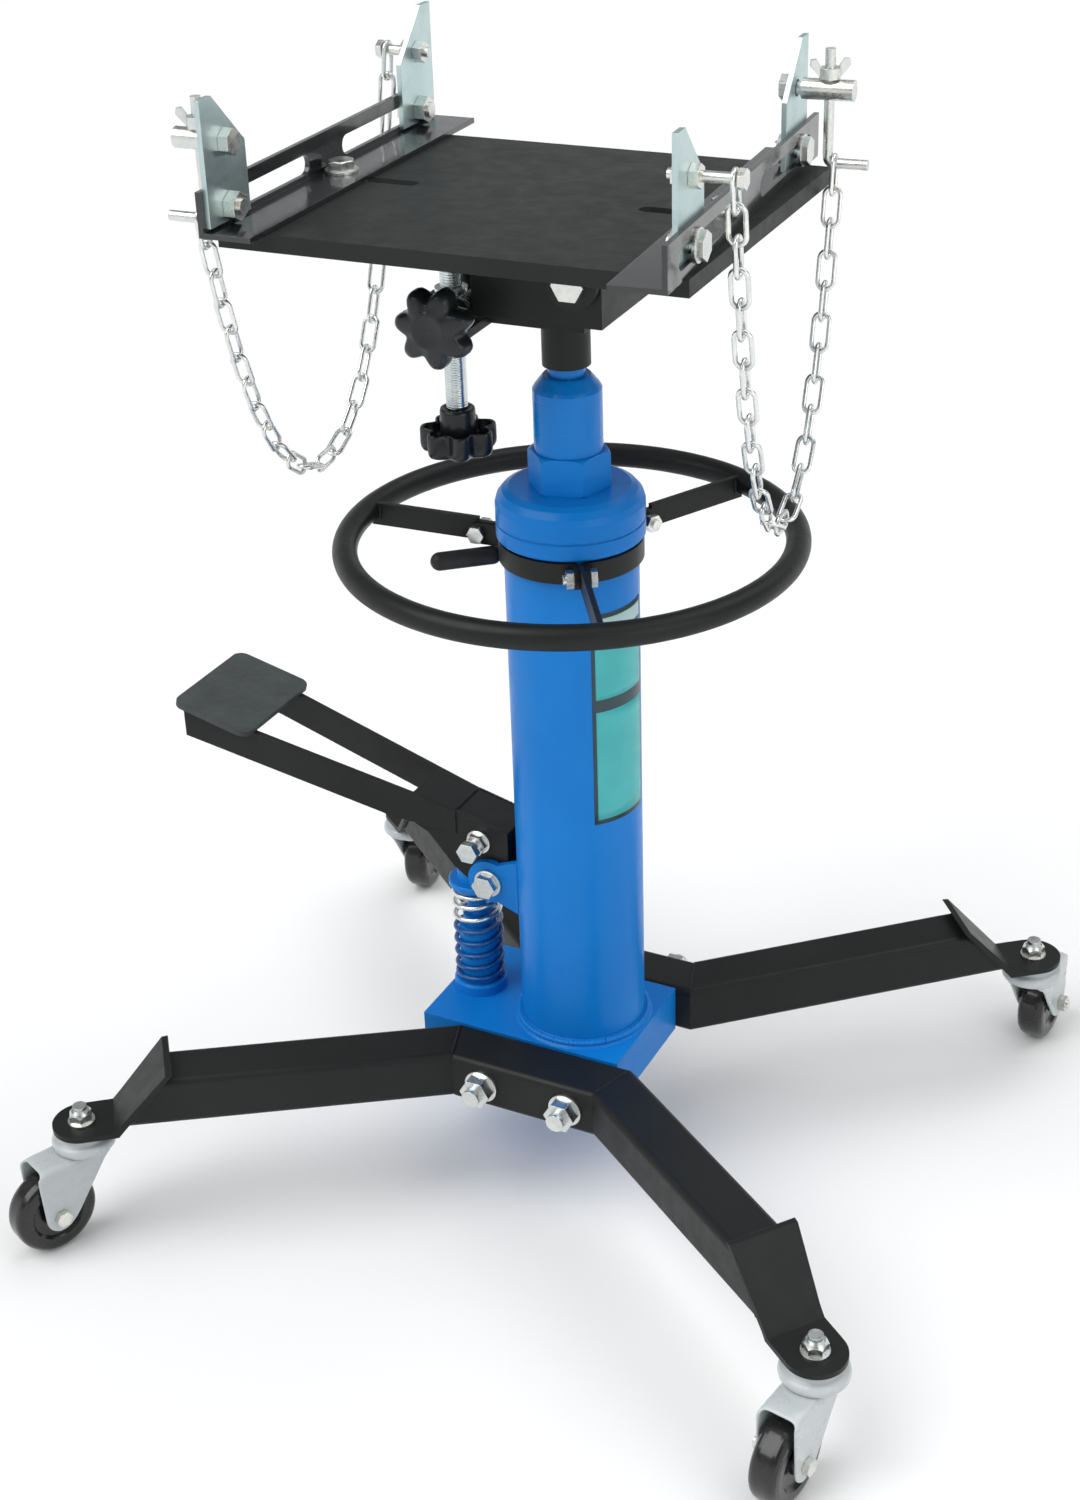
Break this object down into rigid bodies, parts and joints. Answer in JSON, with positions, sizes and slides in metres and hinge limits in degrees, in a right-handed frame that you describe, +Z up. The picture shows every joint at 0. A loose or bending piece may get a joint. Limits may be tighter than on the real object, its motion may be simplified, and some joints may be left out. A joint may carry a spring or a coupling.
{
  "type": "transmission jack",
  "caption": "Tall hydraulic transmission jack: four-legged caster base, foot pump pedal, telescopic column, hand ring and tilting saddle with chains.",
  "frame": {"origin": "centre of the bounding box in plan, on the floor under the wheels", "axes": "+Z up along the column, -X towards the foot pedal, -Y towards the front leg frame"},
  "size_m": [0.7343, 0.7228, 0.956],
  "materials": {
    "blue_paint": "glossy enamel, light orange peel",
    "grey_paint": "glossy light grey enamel",
    "zinc": "zinc plated, slightly yellow",
    "chrome_rod": "ground and plated ram",
    "black_paint": "satin black powder coat",
    "black_plastic": "moulded, glossy",
    "grip_rubber": "matt",
    "wheel": "polished black tread",
    "cast_steel": "machined"
  },
  "bodies": {
    "chassis": {"base_block": "blue_paint", "front_leg_frame": "black_paint", "rear_leg_frame": "black_paint", "end_plates": "black_paint", "chassis_bolts": "zinc", "outer_cylinder": "blue_paint", "cylinder_cap": "blue_paint", "gland_nut": "blue_paint", "left_clamp_band": "black_paint", "right_clamp_band": "black_paint", "hand_ring": "black_paint", "clamp_bolts": "zinc", "pump_cylinder": "blue_paint", "pedal_pin": "zinc"},
    "first_stage": {"first_ram": "blue_paint", "first_piston": "cast_steel"},
    "second_stage": {"second_ram": "chrome_rod", "second_piston": "cast_steel"},
    "swivel": {"swivel_socket": "black_paint", "tilt_pin": "zinc"},
    "cradle": {"cradle": "black_paint", "pivot_bolts": "zinc"},
    "fore_aft_screw": {"fore_aft_screw": "zinc", "fore_aft_knob": "black_plastic"},
    "fore_aft_nut": {"fore_aft_nut": "zinc"},
    "side_screw": {"side_screw": "zinc", "side_knob": "black_plastic"},
    "side_nut": {"side_nut": "zinc"},
    "plate": {"saddle_plate": "black_paint"},
    "pedal": {"pedal_lever": "black_paint", "pedal_pad": "grip_rubber", "pedal_bolt": "zinc"},
    "pump": {"pump_piston": "blue_paint", "pump_spring": "zinc"},
    "release": {"release_rod": "zinc", "release_lever": "grip_rubber"},
    "left_iron": {"left_iron": "black_paint", "left_iron_bolts": "zinc", "left_brackets": "zinc", "left_chain_hook": "zinc", "left_chain": "zinc"},
    "left_wing": {"left_wing_nut": "zinc"},
    "right_iron": {"right_iron": "black_paint", "right_iron_bolts": "zinc", "right_brackets": "zinc", "right_chain_hook": "zinc", "right_chain": "zinc"},
    "right_wing": {"right_wing_nut": "zinc"},
    "front_left_caster": {"front_left_fork": "grey_paint", "front_left_axle": "zinc"},
    "front_left_wheel": {"front_left_wheel": "wheel"},
    "front_right_caster": {"front_right_fork": "grey_paint", "front_right_axle": "zinc"},
    "front_right_wheel": {"front_right_wheel": "wheel"},
    "back_left_caster": {"back_left_fork": "grey_paint", "back_left_axle": "zinc"},
    "back_left_wheel": {"back_left_wheel": "wheel"},
    "back_right_caster": {"back_right_fork": "grey_paint", "back_right_axle": "zinc"},
    "back_right_wheel": {"back_right_wheel": "wheel"}
  },
  "joints": [
    {"name": "front_left_swivel", "type": "hinge", "parent": "chassis", "child": "front_left_caster", "pos_m": [-0.32549, -0.28498, 0.105], "axis": [0, 0, 1], "continuous": true},
    {"name": "front_left_roll", "type": "hinge", "parent": "front_left_caster", "child": "front_left_wheel", "pos_m": [-0.34136, -0.32061, 0.0375], "axis": [0.9135, -0.4067, 0], "continuous": true},
    {"name": "front_right_swivel", "type": "hinge", "parent": "chassis", "child": "front_right_caster", "pos_m": [0.3377, -0.28498, 0.105], "axis": [0, 0, 1], "continuous": true},
    {"name": "front_right_roll", "type": "hinge", "parent": "front_right_caster", "child": "front_right_wheel", "pos_m": [0.33092, -0.32339, 0.0375], "axis": [0.9848, -0.1736, 0], "continuous": true},
    {"name": "back_left_swivel", "type": "hinge", "parent": "chassis", "child": "back_left_caster", "pos_m": [-0.32549, 0.28498, 0.105], "axis": [0, 0, 1], "continuous": true},
    {"name": "back_left_roll", "type": "hinge", "parent": "back_left_caster", "child": "back_left_wheel", "pos_m": [-0.33227, 0.32339, 0.0375], "axis": [-0.9848, -0.1736, 0], "continuous": true},
    {"name": "back_right_swivel", "type": "hinge", "parent": "chassis", "child": "back_right_caster", "pos_m": [0.3377, 0.28498, 0.105], "axis": [0, 0, 1], "continuous": true},
    {"name": "back_right_roll", "type": "hinge", "parent": "back_right_caster", "child": "back_right_wheel", "pos_m": [0.34042, 0.32389, 0.0375], "axis": [-0.9976, 0.0698, 0], "continuous": true},
    {"name": "first_lift", "type": "slide", "parent": "chassis", "child": "first_stage", "axis": [0, 0, 1], "range_m": [0, 0.42]},
    {"name": "second_lift", "type": "slide", "parent": "first_stage", "child": "second_stage", "axis": [0, 0, 1], "range_m": [0, 0.4]},
    {"name": "saddle_swivel", "type": "hinge", "parent": "second_stage", "child": "swivel", "pos_m": [0.0131, 0, 0.75], "axis": [0, 0, 1], "continuous": true},
    {"name": "fore_aft_tilt", "type": "hinge", "parent": "swivel", "child": "cradle", "pos_m": [0.0131, 0, 0.812], "axis": [0.9994, 0.0349, 0], "range_deg": [-8, 8]},
    {"name": "side_tilt", "type": "hinge", "parent": "cradle", "child": "plate", "pos_m": [0.04808, 0.00122, 0.82], "axis": [-0.0349, 0.9994, 0], "range_deg": [-4, 8]},
    {"name": "fore_aft_knob_turn", "type": "hinge", "parent": "swivel", "child": "fore_aft_screw", "pos_m": [-0.04686, -0.00209, 0.787], "axis": [-0.0349, 0.9994, 0], "range_deg": [-634, 634]},
    {"name": "fore_aft_nut_turn", "type": "hinge", "parent": "cradle", "child": "fore_aft_nut", "pos_m": [-0.04686, -0.00209, 0.787], "axis": [0.9994, 0.0349, 0], "range_deg": [-9, 9]},
    {"name": "side_knob_turn", "type": "hinge", "parent": "cradle", "child": "side_screw", "pos_m": [-0.08184, -0.00331, 0.7], "axis": [0, 0, 1], "range_deg": [-414, 823]},
    {"name": "side_nut_turn", "type": "hinge", "parent": "plate", "child": "side_nut", "pos_m": [-0.08184, -0.00331, 0.82], "axis": [-0.0349, 0.9994, 0], "range_deg": [-9, 9]},
    {"name": "left_iron_slide", "type": "slide", "parent": "plate", "child": "left_iron", "axis": [0.9994, 0.0349, 0], "range_m": [0, 0.058], "deforming": ["left_chain"]},
    {"name": "right_iron_slide", "type": "slide", "parent": "plate", "child": "right_iron", "axis": [-0.9994, -0.0349, 0], "range_m": [0, 0.058], "deforming": ["right_chain"]},
    {"name": "left_wing_turn", "type": "hinge", "parent": "left_iron", "child": "left_wing", "pos_m": [-0.1989, -0.14699, 0.935], "axis": [0, 0, 1], "continuous": true},
    {"name": "right_wing_turn", "type": "hinge", "parent": "right_iron", "child": "right_wing", "pos_m": [0.16909, 0.13392, 0.935], "axis": [0, 0, 1], "continuous": true},
    {"name": "pedal", "type": "hinge", "parent": "chassis", "child": "pedal", "pos_m": [-0.0609, 0, 0.268], "axis": [0, -1, 0], "range_deg": [0, 25], "stiffness_Nm_per_rad": 20, "springref_deg": -45.84},
    {"name": "pump_stroke", "type": "slide", "parent": "chassis", "child": "pump", "axis": [0, 0, -1], "range_m": [0, 0.013], "deforming": ["pump_spring"]},
    {"name": "release_turn", "type": "hinge", "parent": "chassis", "child": "release", "pos_m": [-0.0375, 0.0424, 0.57], "axis": [0, 0, -1], "range_deg": [0, 55]}
  ],
  "couplings": [
    {"joint": "fore_aft_knob_turn", "follows": "fore_aft_tilt", "ratio": 78.54},
    {"joint": "fore_aft_nut_turn", "follows": "fore_aft_tilt", "ratio": -1},
    {"joint": "side_knob_turn", "follows": "side_tilt", "ratio": 102.1},
    {"joint": "side_nut_turn", "follows": "side_tilt", "ratio": -1},
    {"joint": "pump_stroke", "follows": "pedal", "m_per_rad": 0.0289}
  ]
}
